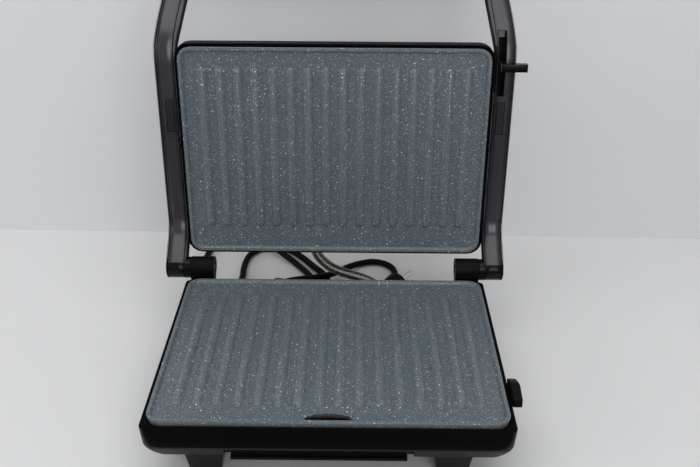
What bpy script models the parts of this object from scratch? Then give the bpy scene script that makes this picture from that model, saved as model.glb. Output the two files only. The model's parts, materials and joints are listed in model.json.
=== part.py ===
"""Two-plate panini press with a floating lid, shown open.

Base frame: X runs across the press, Y = 0 is the rear edge of the lower plate with the front
towards -Y, and Z = 0 is the top of that plate's rim. Everything in it hangs from one empty, which
puts the press on the ground with its outline's middle over the world origin.
Lid measures: "up" runs from the lid plate's hinge edge to its far edge, "back" runs from the
plane of the plate's rim into the lid.
"""

import bpy
import bmesh
from math import atan2, cos, pi, radians, sin
from mathutils import Vector

# ---------------------------------------------------------------- driving dimensions, in metres
GAP = 0.0003                        # clearance between touching pieces
FRAME_ORIGIN = (-0.003, 0.038, 0.066)   # base frame in the world

PLATE_X = 0.145                     # cooking plates: half width, half depth, corner radius
PLATE_Y = 0.103
PLATE_CORNER = 0.012
PLATE_SKIRT = 0.0085
PLATE_FRONT = 0.0014                # the lower plate reaches this much further forward
FIELD_DEPTH = 0.0025                # the ribbed field lies this far below the rim
RIBS = 16
RIB_PITCH = 0.01648
RIB_LENGTH = 0.161
RIB_WIDTH = 0.0092
RIB_CENTRE_Y = -0.004               # the ribs sit a little forward of the plate's middle

HOUSING_X = 0.1495
HOUSING_Y = 0.1076
HOUSING_MIDDLE_Y = -0.1016
HOUSING_TOP = -0.0050
HOUSING_BOTTOM = -0.0412
WALL = 0.0025
PAD_BOTTOM = -FRAME_ORIGIN[2]

LEG_X = 0.1023
LEG_FRONT_Y = -0.1852
LEG_REAR_Y = -0.0168
LEG_HALF_X = 0.0167
LEG_HALF_Y = 0.0148
LEG_TAPER = 0.0030
LEG_BOTTOM = -0.0620

HINGE_Y = 0.018                     # main hinge axis, in the base frame
HINGE_Z = 0.003
LID_OPEN = radians(95)
LID_REACH = 0.01552                 # hinge axis to the lid plate's hinge edge, along the lid
LID_RISE = 0.00416                  # hinge axis to the plane of the lid plate's rim
BARREL_RADIUS = 0.0103
BARREL_IN = 0.1218
GUARD_RADIUS = 0.0117               # curved lug over the washer
GUARD_IN = 0.1368
GUARD_OUT = 0.1512
BARREL_OUT = 0.1450
PIN_RADIUS = 0.0040

TILT_UP = 0.103                     # lid pivot, in lid measures
TILT_BACK = 0.027
LID_FRAME_X = 0.1485
LID_FRAME_Y = 0.1060
LID_SHIFT_Y = 0.0004                # the lid's shells reach further past the plate at the hinge
LID_WALL_Y = 0.0012

ARM_IN = 0.1515
ARM_OUT = 0.1683
ARM_HALF_DEPTH = 0.0115
TRIM_OUT = 0.1698
CAP_RADIUS = 0.0118
ARM_ELBOW_UP = 0.0150
ARM_BEND_UP = 0.2060
HANDLE_UP = 0.2520
HANDLE_BACK = 0.0720
ARM_NARROW_FROM = 0.2000            # past here the arms lean in towards the handle
ARM_NARROW_BY = 0.0080
GRIP_RADIUS = 0.0130
ROD_RADIUS = 0.0050

SLOT_IN = 0.1528                    # slot for the stop slider in the right arm
SLOT_OUT = 0.1604
SLOT_START_UP = 0.1580
SLOT_END_UP = 0.2185
SLIDER_UP = 0.1865

TRAY_MIDDLE_X = -0.0077
TRAY_HALF_X = 0.0762
TRAY_FRONT_Y = -0.2068
TRAY_REAR_Y = -0.1430
TRAY_BOTTOM = -0.0377
TRAY_LIP_HALF = 0.0715
TRAY_TOP = -0.0312

CORD_RADIUS = 0.0036
CORD_EXIT_X = -0.062
CORD_EXIT_Z = -0.0245
CORD_RELIEF_END_Y = 0.0272
CORD_ON_TABLE = PAD_BOTTOM + CORD_RADIUS + GAP
LEAD_RADIUS = 0.0052
LEAD_BASE = (0.0440, 0.0160, -0.0235)
LEAD_LID_X = -0.0205
PLUG_REAR = (0.0431, 0.0408, PAD_BOTTOM + 0.0133)
PLUG_HEADING = atan2(0.807, 0.590)
PIN_SPREAD = 0.0095                 # plug pins from the plug's middle line

MATERIALS = {
    "stone_coating": ((0.095, 0.125, 0.145), 0.55, 0.0),
    "gloss_black": ((0.012, 0.012, 0.013), 0.22, 0.0),
    "matte_black": ((0.018, 0.018, 0.019), 0.6, 0.0),
    "dark_satin": ((0.060, 0.060, 0.065), 0.42, 0.0),
    "brushed_steel": ((0.56, 0.55, 0.53), 0.32, 1.0),
    "bright_steel": ((0.70, 0.70, 0.69), 0.18, 1.0),
    "bare_aluminium": ((0.62, 0.63, 0.64), 0.4, 1.0),
    "heater_sheath": ((0.20, 0.19, 0.18), 0.5, 1.0),
    "black_rubber": ((0.015, 0.015, 0.015), 0.8, 0.0),
    "cord_black": ((0.010, 0.010, 0.011), 0.45, 0.0),
    "ceramic_white": ((0.75, 0.73, 0.69), 0.5, 0.0),
    "lens_red": ((0.45, 0.02, 0.015), 0.12, 0.0),
    "lens_green": ((0.02, 0.30, 0.06), 0.12, 0.0),
}


# ---------------------------------------------------------------- helpers
def clear_scene():
    for obj in list(bpy.data.objects):
        bpy.data.objects.remove(obj, do_unlink=True)


def material(name):
    found = bpy.data.materials.get(name)
    if found:
        return found
    colour, roughness, metallic = MATERIALS[name]
    made = bpy.data.materials.new(name)
    made.use_nodes = True
    shader = made.node_tree.nodes["Principled BSDF"]
    shader.inputs["Base Color"].default_value = (*colour, 1.0)
    shader.inputs["Roughness"].default_value = roughness
    shader.inputs["Metallic"].default_value = metallic
    return made


def empty(name, parent, location, rotation=(0, 0, 0)):
    made = bpy.data.objects.new(name, None)
    bpy.context.scene.collection.objects.link(made)
    made.parent = parent
    made.location = location
    made.rotation_euler = rotation
    return made


def place(name, data, parent, finish, smooth=False):
    obj = bpy.data.objects.new(name, data)
    bpy.context.scene.collection.objects.link(obj)
    obj.parent = parent
    if finish:
        data.materials.append(material(finish))
    if smooth:
        for face in data.polygons:
            face.use_smooth = True
    return obj


def mesh_from(bm, name):
    bmesh.ops.recalc_face_normals(bm, faces=bm.faces)
    data = bpy.data.meshes.new(name)
    bm.to_mesh(data)
    bm.free()
    return data


def loft(name, loops, parent, finish=None, ring=False, smooth=False):
    """Joins loops of equally many points. A ring closes on itself, otherwise both ends are capped."""
    bm = bmesh.new()
    rows = [[bm.verts.new(point) for point in loop] for loop in loops]
    pairs = list(zip(rows, rows[1:]))
    if ring:
        pairs.append((rows[-1], rows[0]))
    for low, high in pairs:
        for i in range(len(low)):
            j = (i + 1) % len(low)
            bm.faces.new((low[i], low[j], high[j], high[i]))
    if not ring:
        bm.faces.new(list(reversed(rows[0])))
        bm.faces.new(rows[-1])
    return place(name, mesh_from(bm, name), parent, finish, smooth)


def rounded_rectangle(half_x, half_y, z, corner, middle=(0.0, 0.0), steps=4):
    points = []
    for quarter in range(4):
        side_x = 1 if quarter in (0, 3) else -1
        side_y = 1 if quarter in (0, 1) else -1
        for step in range(steps + 1):
            angle = (quarter + step / steps) * pi / 2
            x = middle[0] + side_x * (half_x - corner) + corner * cos(angle)
            y = middle[1] + side_y * (half_y - corner) + corner * sin(angle)
            points.append(Vector((x, y, z)))
    return points


def circle(axis, position, radius, centre=(0.0, 0.0), steps=24):
    """A circle square to axis; centre gives the two other coordinates in X, Y, Z order."""
    points = []
    for step in range(steps):
        angle = 2 * pi * step / steps
        first = centre[0] + radius * cos(angle)
        second = centre[1] + radius * sin(angle)
        if axis == "X":
            points.append(Vector((position, first, second)))
        elif axis == "Y":
            points.append(Vector((first, position, second)))
        else:
            points.append(Vector((first, second, position)))
    return points


def turned(name, axis, stations, parent, finish=None, centre=(0.0, 0.0), ring=False, steps=24):
    """A round piece from (position, radius) stations along axis."""
    loops = [circle(axis, position, radius, centre, steps) for position, radius in stations]
    return loft(name, loops, parent, finish, ring, smooth=True)


def block(name, low, high, parent, finish=None):
    (x0, y0, z0), (x1, y1, z1) = low, high
    plan = [(x0, y0), (x1, y0), (x1, y1), (x0, y1)]
    loops = [[Vector((x, y, z)) for x, y in plan] for z in (z0, z1)]
    return loft(name, loops, parent, finish)


def prism_x(name, outline, x0, x1, parent, finish=None):
    """A (y, z) outline drawn out along X."""
    loops = [[Vector((x, y, z)) for y, z in outline] for x in (x0, x1)]
    return loft(name, loops, parent, finish)


def soften(obj, width, segments=2):
    bevel = obj.modifiers.new("soft_edges", "BEVEL")
    bevel.width = width
    bevel.segments = segments
    bevel.limit_method = "ANGLE"
    bevel.angle_limit = radians(50)


def hide_tool(tool):
    tool.hide_render = True
    tool.display_type = "WIRE"


def boolean(obj, tool, operation):
    hide_tool(tool)
    step = obj.modifiers.new(operation.lower(), "BOOLEAN")
    step.operation = operation
    step.object = tool
    step.solver = "EXACT"


def cut(obj, tool):
    boolean(obj, tool, "DIFFERENCE")


def arc_path(points, radii, step=radians(9)):
    """A polyline whose inner corners are rounded to radii, as 2-D points."""
    path = [Vector(points[0])]
    for before, corner, after, radius in zip(points, points[1:], points[2:], radii):
        corner = Vector(corner)
        to_before = (Vector(before) - corner).normalized()
        to_after = (Vector(after) - corner).normalized()
        opening = to_before.angle(to_after)
        reach = radius / abs(sin(opening / 2)) * cos(opening / 2)
        centre = corner + (to_before + to_after).normalized() * radius / sin(opening / 2)
        start = corner + to_before * reach - centre
        turn = pi - opening
        if start.x * to_after.y - start.y * to_after.x < 0:
            turn = -turn
        steps = max(2, round(abs(turn) / step))
        for i in range(steps + 1):
            angle = turn * i / steps
            turned_x = start.x * cos(angle) - start.y * sin(angle)
            turned_y = start.x * sin(angle) + start.y * cos(angle)
            path.append(centre + Vector((turned_x, turned_y)))
    path.append(Vector(points[-1]))
    return path


def smooth_route(route, step):
    """Points about a step apart on a Catmull-Rom curve through the route."""
    points = [Vector(p) for p in route]
    points.insert(0, points[0] * 2 - points[1])
    points.append(points[-1] * 2 - points[-2])
    curve = [points[1]]
    for a, b, c, d in zip(points, points[1:], points[2:], points[3:]):
        parts = max(1, round((c - b).length / step))
        for i in range(1, parts + 1):
            t = i / parts
            curve.append(0.5 * (2 * b + (c - a) * t + (2 * a - 5 * b + 4 * c - d) * t ** 2
                                + (3 * b - a - 3 * c + d) * t ** 3))
    return curve


def tube(name, points, radius, parent, finish, resolution=2):
    data = bpy.data.curves.new(name, "CURVE")
    data.dimensions = "3D"
    data.bevel_depth = radius
    data.bevel_resolution = resolution
    data.use_fill_caps = True
    spline = data.splines.new("POLY")
    spline.points.add(len(points) - 1)
    for slot, point in zip(spline.points, points):
        slot.co = (*point, 1.0)
    return place(name, data, parent, finish)


def from_lid(up, back):
    """Lid measures to (y, z) in the closed hinge frame: the lid reaches towards -Y, its back is up."""
    return (-(LID_REACH + up), LID_RISE + back)


# ---------------------------------------------------------------- cooking plates and what heats them
def plate_rib(name, x, parent):
    """A bar with round ends and a round back, sunk a little into the field."""
    half = RIB_WIDTH / 2
    loops = []
    levels = ((0.0, -0.0006), (0.0, 0.0001), (0.0010, 0.0011), (0.0022, 0.0020), (0.0034, 0.0024))
    for inset, height in levels:
        loops.append(rounded_rectangle(
            half - inset, RIB_LENGTH / 2 - inset, height - FIELD_DEPTH, half - inset - 0.00005,
            (x, RIB_CENTRE_Y), steps=3))
    return loft(name, loops, parent)


def ribs_tool(name, parent):
    """All ribs as one helper mesh of separate bars."""
    bm = bmesh.new()
    for i in range(RIBS):
        bar = plate_rib("bar", (i - (RIBS - 1) / 2) * RIB_PITCH, parent)
        bm.from_mesh(bar.data)
        bpy.data.objects.remove(bar, do_unlink=True)
    return place(name, mesh_from(bm, name), parent, None)


def cooking_plate(name, parent, front=0.0):
    """Cast plate: skirt, raised rim, sunk field with ribs, and a pocket underneath."""
    sections = (
        (-0.0055, -0.0055, 0.0070), (-0.0055, -PLATE_SKIRT, 0.0070),
        (-0.0012, -PLATE_SKIRT, PLATE_CORNER - 0.0012), (0.0, -0.0010, PLATE_CORNER),
        (-0.0005, 0.0, PLATE_CORNER - 0.0005), (-0.0030, 0.0, PLATE_CORNER - 0.0030),
        (-0.0048, -FIELD_DEPTH, PLATE_CORNER - 0.0048),
    )
    loops = [rounded_rectangle(PLATE_X + inset, PLATE_Y + inset + front / 2, z, corner, (0.0, -front / 2))
             for inset, z, corner in sections]
    plate = loft(name, loops, parent, "stone_coating")
    boolean(plate, ribs_tool(name + "_ribs_tool", parent), "UNION")
    return plate


def drain_slot(plate, parent):
    """Grease slot behind the front rim: straight in front, bowed behind."""
    half, front, bow = 0.0222, -0.1003 - PLATE_FRONT, 0.0092
    outline = [(half, front), (-half, front)]
    for i in range(1, 8):
        x = -half + 2 * half * i / 8
        outline.append((x, front + 0.0012 + bow * sin(pi * i / 8) ** 0.4))
    loops = [[Vector((x, y, z)) for x, y in outline] for z in (-0.012, 0.003)]
    cut(plate, loft("drain_slot_tool", loops, parent))


def heater(name, parent):
    """Sheathed element under the plate, with both ends at the hinge edge."""
    side, far, near = 0.096, -0.074, 0.083
    plan = arc_path([(-side, near), (-side, far), (side, far), (side, near)], [0.03, 0.03])
    points = [Vector((p.x, p.y, -0.0091)) for p in plan]
    return tube(name, points, 0.0032, parent, "heater_sheath", resolution=1)


def reflector(name, parent):
    """Thin pan under the element."""
    sections = ((0.128, 0.085, -0.0150), (0.131, 0.088, -0.0095),
                (0.1304, 0.0874, -0.0095), (0.1274, 0.0844, -0.0144))
    loops = [rounded_rectangle(x, y, z, 0.010, steps=3) for x, y, z in sections]
    return loft(name, loops, parent, "bare_aluminium")


def thermostat(name, parent):
    stations = ((-0.0058, 0.0085), (-0.0090, 0.0085), (-0.0090, 0.0072), (-0.0138, 0.0066))
    return turned(name, "Z", stations, parent, "bright_steel", (0.0, 0.010), steps=20)


# ---------------------------------------------------------------- base
def base_housing(parent):
    """Open shell round the lower plate, drawn in towards its bottom edge."""
    middle = (0.0, HOUSING_MIDDLE_Y)
    top, bottom = HOUSING_TOP, HOUSING_BOTTOM
    sections = (
        (0.1484, 0.1066, top, 0.0050), (HOUSING_X, HOUSING_Y, -0.0062, 0.0040),
        (HOUSING_X, HOUSING_Y, -0.0130, 0.0050), (HOUSING_X, HOUSING_Y, -0.0200, 0.0070),
        (0.1495, HOUSING_Y, -0.0260, 0.0080), (0.1490, 0.1045, -0.0320, 0.0085),
        (0.1472, 0.1018, -0.0370, 0.0090), (0.1436, 0.0998, bottom, 0.0100),
        (0.1411, 0.0973, bottom, 0.0080), (0.1448, 0.0994, -0.0366, 0.0080),
        (0.1465, 0.1020, -0.0314, 0.0075), (0.1470, 0.1051, -0.0256, 0.0070),
        (0.1470, 0.1051, -0.0190, 0.0060), (0.1470, 0.1054, -0.0090, 0.0050),
    )
    loops = [rounded_rectangle(x, y, z, corner, middle) for x, y, z, corner in sections]
    for z in (-0.0075, top):
        loops.append(rounded_rectangle(PLATE_X + 0.0004, PLATE_Y + PLATE_FRONT / 2 + 0.0004, z,
                                       PLATE_CORNER + 0.0004, (0.0, -PLATE_Y - PLATE_FRONT / 2)))
    shell = loft("base_housing", loops, parent, "gloss_black", ring=True)
    left = TRAY_MIDDLE_X - TRAY_HALF_X - 0.0006
    right = TRAY_MIDDLE_X + TRAY_HALF_X + 0.0006
    cut(shell, block("tray_window_tool", (left, -0.216, -0.0500), (right, -0.190, TRAY_TOP + 0.0005), parent))
    cut(shell, turned("cord_hole_tool", "Y", ((-0.004, 0.0058), (0.010, 0.0058)), parent,
                      centre=(CORD_EXIT_X, CORD_EXIT_Z)))
    cut(shell, turned("lead_hole_tool", "Y", ((-0.004, 0.0067), (0.010, 0.0067)), parent,
                      centre=(LEAD_BASE[0], LEAD_BASE[2])))
    return shell


def leg_places():
    return {
        "front_left": (-LEG_X, LEG_FRONT_Y), "front_right": (LEG_X, LEG_FRONT_Y),
        "rear_left": (-LEG_X, LEG_REAR_Y), "rear_right": (LEG_X, LEG_REAR_Y),
    }


def bottom_cover(parent):
    middle = (0.0, HOUSING_MIDDLE_Y)
    loops = [rounded_rectangle(0.1408, 0.0970, z, 0.0077, middle) for z in (HOUSING_BOTTOM, -0.0380)]
    cover = loft("bottom_cover", loops, parent, "matte_black")
    for place_name, (x, y) in leg_places().items():
        hole = turned(f"cover_hole_tool_{place_name}", "Z", ((-0.050, 0.0022), (-0.030, 0.0022)),
                      parent, centre=(x, y), steps=12)
        cut(cover, hole)
    return cover


def leg(place_name, x, y, parent):
    """Tapered leg with a rubber pad under it and one screw up through both it and the cover."""
    top = HOUSING_BOTTOM - GAP
    middle = (x, y)
    loops = [rounded_rectangle(LEG_HALF_X, LEG_HALF_Y, top, 0.003, middle, steps=2),
             rounded_rectangle(LEG_HALF_X - LEG_TAPER, LEG_HALF_Y - LEG_TAPER, LEG_BOTTOM, 0.003, middle,
                               steps=2)]
    body = loft(f"leg_{place_name}", loops, parent, "gloss_black")
    bore = ((LEG_BOTTOM - 0.001, 0.0044), (LEG_BOTTOM + 0.004, 0.0044),
            (LEG_BOTTOM + 0.004, 0.0022), (top + 0.001, 0.0022))
    cut(body, turned(f"leg_bore_tool_{place_name}", "Z", bore, parent, centre=middle, steps=12))
    pad = [rounded_rectangle(0.0114, 0.0114, LEG_BOTTOM - GAP, 0.003, middle, steps=2),
           rounded_rectangle(0.0114, 0.0114, PAD_BOTTOM + 0.0008, 0.003, middle, steps=2),
           rounded_rectangle(0.0104, 0.0104, PAD_BOTTOM, 0.002, middle, steps=2)]
    loft(f"foot_pad_{place_name}", pad, parent, "black_rubber")
    screw = ((LEG_BOTTOM + 0.0004, 0.0040), (LEG_BOTTOM + 0.0036, 0.0040),
             (LEG_BOTTOM + 0.0036, 0.0019), (-0.0365, 0.0019))
    turned(f"leg_screw_{place_name}", "Z", screw, parent, "bright_steel", middle, steps=12)


def drip_tray(parent):
    """Shallow tray under the drain slot, with a lip to pull it by below its sloping front."""
    sections = (
        (TRAY_HALF_X - 0.0040, TRAY_FRONT_Y + 0.0040, TRAY_REAR_Y, TRAY_BOTTOM, 0.003),
        (TRAY_HALF_X, TRAY_FRONT_Y, TRAY_REAR_Y, TRAY_TOP, 0.003),
        (TRAY_HALF_X - 0.0016, TRAY_FRONT_Y + 0.0016, TRAY_REAR_Y - 0.0016, TRAY_TOP, 0.002),
        (TRAY_HALF_X - 0.0056, TRAY_FRONT_Y + 0.0060, TRAY_REAR_Y - 0.0016, TRAY_BOTTOM + 0.0014, 0.002),
    )
    loops = [rounded_rectangle(half_x, (rear - front) / 2, z, corner,
                               (TRAY_MIDDLE_X, (front + rear) / 2), steps=3)
             for half_x, front, rear, z, corner in sections]
    tray = loft("drip_tray", loops, parent, "matte_black")
    outline = [(-0.2030, -0.0370), (-0.1997, -0.0370), (-0.1997, -0.0402), (-0.2044, -0.0402),
               (-0.2046, -0.0415), (-0.2062, -0.0415), (-0.2062, -0.0389), (-0.2034, -0.0389)]
    lip = prism_x("tray_lip_tool", outline, TRAY_MIDDLE_X - TRAY_LIP_HALF, TRAY_MIDDLE_X + TRAY_LIP_HALF,
                  parent)
    boolean(tray, lip, "UNION")
    return tray


def hinge_bracket(side, sign, parent):
    """Fixed barrel with a web down its front that stands against the back wall."""
    wall_y = HOUSING_MIDDLE_Y + HOUSING_Y + GAP - HINGE_Y
    outline = [(wall_y, 0.0015)]
    for i in range(17):
        angle = radians(172 - i * 15.25)
        outline.append((BARREL_RADIUS * cos(angle), BARREL_RADIUS * sin(angle)))
    outline += [(-0.0045, -0.0170), (wall_y, -0.0185)]
    points = [(y + HINGE_Y, z + HINGE_Z) for y, z in outline]
    body = prism_x(f"hinge_bracket_{side}", points, sign * BARREL_IN, sign * BARREL_OUT, parent,
                   "matte_black")
    bore = turned(f"bracket_bore_tool_{side}", "X", ((sign * 0.110, 0.0042), (sign * 0.155, 0.0042)),
                  parent, centre=(HINGE_Y, HINGE_Z))
    cut(body, bore)
    boolean(body, hinge_guard(side, sign, parent), "UNION")
    return body


def hinge_guard(side, sign, parent):
    """Curved lug in front of and below the barrel's outer end; it shields the washer."""
    outline = []
    inner_radius = BARREL_RADIUS - 0.0001
    for radius, degrees in ((GUARD_RADIUS, range(169, 263, 9)), (inner_radius, range(259, 168, -9))):
        for degree in degrees:
            angle = radians(degree)
            outline.append((HINGE_Y + radius * cos(angle), HINGE_Z + radius * sin(angle)))
    return prism_x(f"hinge_guard_tool_{side}", outline, sign * GUARD_IN, sign * GUARD_OUT, parent)


def stop_catch(parent):
    """Block on the right wall that the stop slider comes down on."""
    outline = [(-0.1460, -0.0045), (-0.1570, 0.0015), (-0.1640, 0.0040), (-0.1795, 0.0010),
               (-0.1810, -0.0060), (-0.1760, -0.0095), (-0.1500, -0.0095)]
    body = prism_x("stop_catch", outline, HOUSING_X + GAP, HOUSING_X + 0.0078, parent, "matte_black")
    soften(body, 0.0008)
    return body


def base_electrics(parent):
    block("terminal_block", (-0.052, -0.030, -0.0377), (-0.022, -0.014, -0.0265), parent,
          "ceramic_white")
    turned("thermal_fuse", "X", ((-0.008, 0.0012), (-0.007, 0.0021), (0.007, 0.0021), (0.008, 0.0012)),
           parent, "ceramic_white", (-0.030, -0.0115), steps=12)
    relief = ((-0.0024, 0.0072), (-0.0004, 0.0072), (-0.0004, 0.0055), (0.0063, 0.0055), (0.0063, 0.0078),
              (0.0086, 0.0074), (CORD_RELIEF_END_Y, 0.0044))
    turned("cord_strain_relief", "Y", relief, parent, "black_rubber", (CORD_EXIT_X, CORD_EXIT_Z))
    gland = ((-0.0024, 0.0074), (-0.0003, 0.0074), (-0.0003, 0.0064), (0.0063, 0.0064), (0.0063, 0.0084),
             (0.0095, 0.0080), (LEAD_BASE[1] - GAP, 0.0062))
    turned("lead_gland_base", "Y", gland, parent, "matte_black", (LEAD_BASE[0], LEAD_BASE[2]))


# ---------------------------------------------------------------- cord, plug and the lead to the lid
def cord_route():
    """Hand-chosen points from the strain relief to the plug, in the base frame."""
    low = CORD_ON_TABLE
    return [
        (CORD_EXIT_X, CORD_RELIEF_END_Y + 0.0010, CORD_EXIT_Z), (CORD_EXIT_X, 0.0380, -0.0272),
        (-0.0592, 0.0475, -0.0338), (-0.0515, 0.0555, -0.0405), (-0.0395, 0.0605, -0.0468),
        (-0.0262, 0.0651, -0.0520), (-0.0155, 0.0723, -0.0572), (-0.0098, 0.0839, -0.0612),
        (-0.0108, 0.0965, low), (-0.0165, 0.1100, low), (-0.0270, 0.1240, low),
        (-0.0386, 0.1405, low), (-0.0510, 0.1555, low), (-0.0625, 0.1650, low),
        (-0.0765, 0.1690, low), (-0.0905, 0.1655, low), (-0.1015, 0.1555, low),
        (-0.1070, 0.1400, low), (-0.1085, 0.1200, low), (-0.1078, 0.1030, low),
        (-0.1092, 0.0875, low), (-0.1160, 0.0750, low), (-0.1292, 0.0679, low),
        (-0.1441, 0.0698, low), (-0.1550, 0.0800, low), (-0.1585, 0.0945, low),
        (-0.1578, 0.1120, low), (-0.1566, 0.1300, low), (-0.1552, 0.1475, low),
        (-0.1527, 0.1650, low), (-0.1445, 0.1805, low), (-0.1290, 0.1885, -0.0610),
        (-0.1105, 0.1850, -0.0575), (-0.0920, 0.1715, -0.0543), (-0.0740, 0.1560, -0.0570),
        (-0.0580, 0.1415, -0.0608), (-0.0450, 0.1260, low), (-0.0345, 0.1100, low),
        (-0.0265, 0.0950, low), (-0.0232, 0.0800, low), (-0.0243, 0.0650, low),
        (-0.0280, 0.0525, low), (-0.0355, 0.0412, low), (-0.0475, 0.0330, low),
        (-0.0616, 0.0322, low), (-0.0743, 0.0402, low), (-0.0802, 0.0541, -0.0617),
        (-0.0772, 0.0688, -0.0603), (-0.0672, 0.0784, -0.0582), (-0.0560, 0.0822, -0.0560),
        (-0.0420, 0.0843, -0.0543), (-0.0260, 0.0872, -0.0541), (-0.0100, 0.0935, -0.0543),
        (0.0020, 0.1045, -0.0562), (0.0125, 0.1190, -0.0593), (0.0260, 0.1310, -0.0617),
        (0.0415, 0.1362, low), (0.0556, 0.1320, low), (0.0650, 0.1202, low),
        (0.0662, 0.1055, low), (0.0590, 0.0928, low), (0.0470, 0.0845, low),
        (0.0320, 0.0790, low), (0.0160, 0.0735, low), (0.0015, 0.0655, low),
        (-0.0092, 0.0535, low), (-0.0132, 0.0400, low), (-0.0085, 0.0264, low),
        (0.0034, 0.0174, -0.0605), (0.0185, 0.0168, -0.0568), (0.0322, 0.0259, -0.0534),
        (0.0427, 0.0400, -0.0527),
    ]


def power_cord(parent):
    points = smooth_route(cord_route(), 0.014)
    return tube("power_cord", points, CORD_RADIUS, parent, "cord_black", resolution=2)


def power_plug(parent):
    """Round moulded plug lying on its side, turned so that one pin is above the other."""
    frame = empty("plug_frame", parent, PLUG_REAR, (0, 0, PLUG_HEADING))
    stations = ((GAP, 0.0044), (0.014, 0.0056), (0.017, 0.0088), (0.024, 0.0116), (0.036, 0.0130),
                (0.0422, 0.0130), (0.0430, 0.0122))
    turned("plug_body", "X", stations, frame, "cord_black")
    roll = radians(36)
    for number, sign in ((1, 1), (2, -1)):
        centre = (-sign * PIN_SPREAD * sin(roll), sign * PIN_SPREAD * cos(roll))
        turned(f"plug_pin_{number}", "X", ((0.0433, 0.0023), (0.0610, 0.0023), (0.0623, 0.0013)),
               frame, "bright_steel", centre, steps=12)


def lead_conduit(parent):
    """Sprung conduit with the lid's supply in it, from the back wall up to the lid."""
    end_y = HINGE_Y + 0.0318
    x, y, z = LEAD_BASE
    route = [(x, y + 0.0008, z), (x - 0.0006, 0.0225, -0.0232), (0.0375, 0.0285, -0.0213),
             (0.0270, 0.0325, -0.0187), (0.0160, 0.0365, -0.0172), (0.0040, 0.0405, -0.0153),
             (-0.0065, 0.0445, -0.0118), (-0.0145, 0.0475, -0.0058),
             (LEAD_LID_X + 0.0008, end_y - 0.0008, 0.0012), (LEAD_LID_X, end_y, 0.0072)]
    return tube("lead_conduit", smooth_route(route, 0.006), LEAD_RADIUS, parent, "bright_steel",
                resolution=2)


# ---------------------------------------------------------------- arms and handle
def arm_stations(round_steps=4):
    """Pairs of (y, z) edge points down an arm, each with how far it leans in, with round ends."""
    line = arc_path([from_lid(-LID_REACH, -LID_RISE), from_lid(ARM_ELBOW_UP, TILT_BACK),
                     from_lid(ARM_BEND_UP, TILT_BACK), from_lid(HANDLE_UP, HANDLE_BACK)],
                    [0.040, 0.050])
    stations = []
    for i, point in enumerate(line):
        along = (line[min(i + 1, len(line) - 1)] - line[max(i - 1, 0)]).normalized()
        across = Vector((-along.y, along.x)) * ARM_HALF_DEPTH
        stations.append((point + across, point - across))
    first = round_end(line[0], line[0] - line[1], round_steps)
    last = round_end(line[-1], line[-1] - line[-2], round_steps)
    stations = [(b, a) for a, b in reversed(first)] + stations + last
    leans = []
    for a, b in stations:
        up = -(a.x + b.x) / 2 - LID_REACH
        past = max(0.0, up - ARM_NARROW_FROM)
        leans.append(ARM_NARROW_BY * past / (HANDLE_UP - ARM_NARROW_FROM))
    return [(a, b, lean) for (a, b), lean in zip(stations, leans)]


def round_end(centre, outward, steps):
    """Edge pairs of a half circle, from the full width outwards to a short flat tip."""
    heading = atan2(outward.y, outward.x)
    pairs = []
    for i in range(1, steps + 1):
        offset = pi / 2 - i * pi / (2 * steps + 1)
        pairs.append(tuple(
            centre + Vector((cos(heading + turn), sin(heading + turn))) * ARM_HALF_DEPTH
            for turn in (offset, -offset)))
    return pairs


def arm_band(name, x0, x1, parent, finish):
    """A slab with the arm's side view, from x0 to x1."""
    sign = 1 if x0 > 0 else -1
    loops = []
    for a, b, lean in arm_stations():
        near, far = x0 - sign * lean, x1 - sign * lean
        loops.append([Vector((near, *a)), Vector((far, *a)), Vector((far, *b)), Vector((near, *b))])
    return loft(name, loops, parent, finish)


def arm(side, sign, parent):
    """Plastic arm and the metal strip on its outer face."""
    body = arm_band(f"arm_{side}", sign * ARM_IN, sign * ARM_OUT, parent, "dark_satin")
    trim = arm_band(f"arm_trim_{side}", sign * (ARM_OUT + GAP), sign * TRIM_OUT, parent, "brushed_steel")
    cut(trim, turned(f"trim_end_tool_{side}", "X", ((sign * 0.160, CAP_RADIUS + GAP),
                                                    (sign * 0.180, CAP_RADIUS + GAP)), parent))
    bores = {
        "hinge": ((0.0, 0.0), PIN_RADIUS + 0.0001, 0.1655),
        "pivot": (from_lid(TILT_UP, TILT_BACK), PIN_RADIUS + 0.0001, 0.1640),
        "rod": (from_lid(HANDLE_UP, HANDLE_BACK), ROD_RADIUS + 0.0001, 0.1530),
    }
    for name, (centre, radius, depth) in bores.items():
        tool = turned(f"arm_{name}_tool_{side}", "X", ((sign * 0.135, radius), (sign * depth, radius)),
                      parent, centre=centre, steps=20)
        cut(body, tool)
    screw_cover(body, side, sign, parent)
    return body


def screw_cover(body, side, sign, parent):
    """Small flush cover let into the arm's underside below the slot."""
    near, underside = from_lid(0.1205, TILT_BACK - ARM_HALF_DEPTH)
    far, _ = from_lid(0.1520, 0.0)
    x0, x1 = sign * 0.1553, sign * 0.1622
    low_x, high_x = min(x0, x1), max(x0, x1)
    room = block(f"cover_pocket_tool_{side}", (low_x - GAP, far - GAP, underside - 0.002),
                 (high_x + GAP, near + GAP, underside + 0.0020), parent)
    cut(body, room)
    block(f"arm_screw_cover_{side}", (low_x, far, underside + 0.0002),
          (high_x, near, underside + 0.0017), parent, "matte_black")


def slider_slot(body, parent):
    near_y, bottom = from_lid(SLOT_START_UP, 0.0)
    far_y, top = from_lid(SLOT_END_UP, 0.0330)
    cut(body, block("slider_slot_tool", (SLOT_IN, far_y, bottom), (SLOT_OUT, near_y, top), parent))
    spring_y, spring_z = from_lid(SLOT_END_UP, 0.0290)
    block("slider_spring", (SLOT_IN + 0.0008, spring_y + 0.0010, spring_z),
          (SLOT_OUT - 0.0008, spring_y + 0.0072, spring_z + 0.0009), parent, "bright_steel")


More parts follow.
